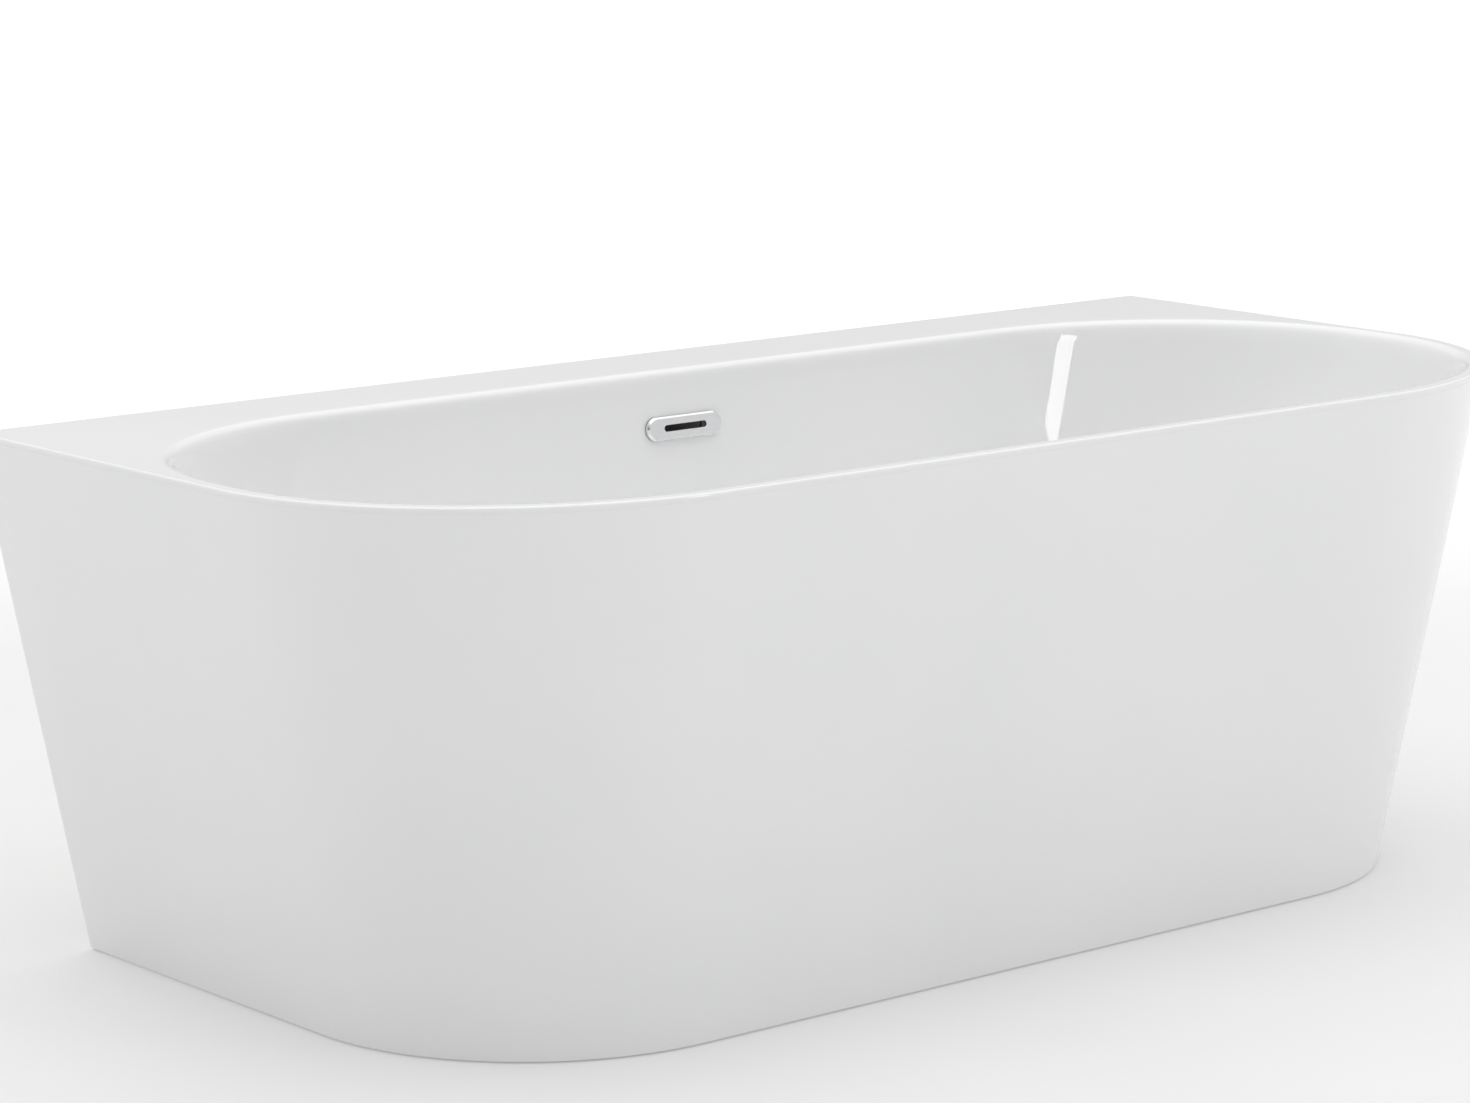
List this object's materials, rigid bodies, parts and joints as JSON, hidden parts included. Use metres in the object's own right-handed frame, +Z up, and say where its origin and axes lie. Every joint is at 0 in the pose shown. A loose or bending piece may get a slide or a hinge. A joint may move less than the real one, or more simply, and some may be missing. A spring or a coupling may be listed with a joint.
{
  "type": "bathtub",
  "caption": "Back-to-wall acrylic bathtub with a drafted wraparound skirt, slim rolled rim, chromed overflow and push-open waste.",
  "frame": {"origin": "on the floor, at the middle of the overall length and width", "axes": "+X along the bath, +Y towards the wall behind it, +Z up"},
  "size_m": [1.6986, 0.7796, 0.58],
  "materials": {
    "white_acrylic": "polished white acrylic",
    "glass_fibre": "rough chopped-strand laminate",
    "rim_sealant": "white adhesive, sanded flush and polished",
    "board": "raw chipboard",
    "frame_steel": "grey powder coat",
    "zinc_steel": "bright zinc plating",
    "chrome": "mirror chrome plating",
    "brass": "machined brass",
    "rubber": "black moulded rubber",
    "drain_plastic": "moulded white polypropylene",
    "nut_plastic": "moulded dark polypropylene",
    "foot_plastic": "black moulded nylon"
  },
  "bodies": {
    "tub": {"basin_laminate": "glass_fibre", "basin_shell": "white_acrylic", "board_screws": "zinc_steel", "body_seal": "rubber", "bracket_screws": "zinc_steel", "crossbar_inner_left": "frame_steel", "crossbar_inner_right": "frame_steel", "crossbar_outer_left": "frame_steel", "crossbar_outer_right": "frame_steel", "flange_seal": "rubber", "floor_board": "board", "front_rail": "frame_steel", "lock_nuts": "zinc_steel", "outer_skirt": "white_acrylic", "outlet_nut": "nut_plastic", "outlet_pipe": "drain_plastic", "overflow_back_seal": "rubber", "overflow_clip_plate": "nut_plastic", "overflow_cover": "chrome", "overflow_front_seal": "rubber", "overflow_housing": "drain_plastic", "overflow_pipe": "drain_plastic", "overflow_pipe_nut": "nut_plastic", "overflow_port_nut": "nut_plastic", "overflow_screws": "zinc_steel", "plug_barrel": "brass", "plug_spring": "zinc_steel", "rear_rail": "frame_steel", "rim_bond": "rim_sealant", "skirt_brackets": "zinc_steel", "trap_body": "drain_plastic", "trap_nut": "nut_plastic", "upright_inner_left": "frame_steel", "upright_inner_right": "frame_steel", "upright_outer_left": "frame_steel", "upright_outer_right": "frame_steel", "upright_pads": "rubber", "waste_body": "drain_plastic", "waste_flange": "chrome", "weld_nuts": "zinc_steel"},
    "plug": {"plug_cap": "chrome", "plug_pin": "brass", "plug_seal": "rubber"},
    "foot_front_left": {"foot_pad_front_left": "foot_plastic"},
    "rod_front_left": {"foot_rod_front_left": "zinc_steel"},
    "foot_front_middle": {"foot_pad_front_middle": "foot_plastic"},
    "rod_front_middle": {"foot_rod_front_middle": "zinc_steel"},
    "foot_front_right": {"foot_pad_front_right": "foot_plastic"},
    "rod_front_right": {"foot_rod_front_right": "zinc_steel"},
    "foot_rear_left": {"foot_pad_rear_left": "foot_plastic"},
    "rod_rear_left": {"foot_rod_rear_left": "zinc_steel"},
    "foot_rear_right": {"foot_pad_rear_right": "foot_plastic"},
    "rod_rear_right": {"foot_rod_rear_right": "zinc_steel"}
  },
  "joints": [
    {"name": "plug_lift", "type": "slide", "parent": "tub", "child": "plug", "axis": [0, 0, 1], "range_m": [0, 0.009], "deforming": ["plug_spring"]},
    {"name": "foot_front_left_lower", "type": "slide", "parent": "tub", "child": "foot_front_left", "axis": [0, 0, -1], "range_m": [0, 0.02]},
    {"name": "rod_front_left_turn", "type": "hinge", "parent": "foot_front_left", "child": "rod_front_left", "pos_m": [-0.6, -0.17, 0.05], "axis": [0, 0, -1], "range_deg": [0, 4115.09]},
    {"name": "foot_front_middle_lower", "type": "slide", "parent": "tub", "child": "foot_front_middle", "axis": [0, 0, -1], "range_m": [0, 0.02]},
    {"name": "rod_front_middle_turn", "type": "hinge", "parent": "foot_front_middle", "child": "rod_front_middle", "pos_m": [0, -0.17, 0.05], "axis": [0, 0, -1], "range_deg": [0, 4115.09]},
    {"name": "foot_front_right_lower", "type": "slide", "parent": "tub", "child": "foot_front_right", "axis": [0, 0, -1], "range_m": [0, 0.02]},
    {"name": "rod_front_right_turn", "type": "hinge", "parent": "foot_front_right", "child": "rod_front_right", "pos_m": [0.6, -0.17, 0.05], "axis": [0, 0, -1], "range_deg": [0, 4115.09]},
    {"name": "foot_rear_left_lower", "type": "slide", "parent": "tub", "child": "foot_rear_left", "axis": [0, 0, -1], "range_m": [0, 0.02]},
    {"name": "rod_rear_left_turn", "type": "hinge", "parent": "foot_rear_left", "child": "rod_rear_left", "pos_m": [-0.6, 0.19, 0.05], "axis": [0, 0, -1], "range_deg": [0, 4115.09]},
    {"name": "foot_rear_right_lower", "type": "slide", "parent": "tub", "child": "foot_rear_right", "axis": [0, 0, -1], "range_m": [0, 0.02]},
    {"name": "rod_rear_right_turn", "type": "hinge", "parent": "foot_rear_right", "child": "rod_rear_right", "pos_m": [0.6, 0.19, 0.05], "axis": [0, 0, -1], "range_deg": [0, 4115.09]}
  ],
  "couplings": [
    {"joint": "rod_front_left_turn", "follows": "foot_front_left_lower", "rad_per_m": 3590.4},
    {"joint": "rod_front_middle_turn", "follows": "foot_front_middle_lower", "rad_per_m": 3590.4},
    {"joint": "rod_front_right_turn", "follows": "foot_front_right_lower", "rad_per_m": 3590.4},
    {"joint": "rod_rear_left_turn", "follows": "foot_rear_left_lower", "rad_per_m": 3590.4},
    {"joint": "rod_rear_right_turn", "follows": "foot_rear_right_lower", "rad_per_m": 3590.4}
  ]
}
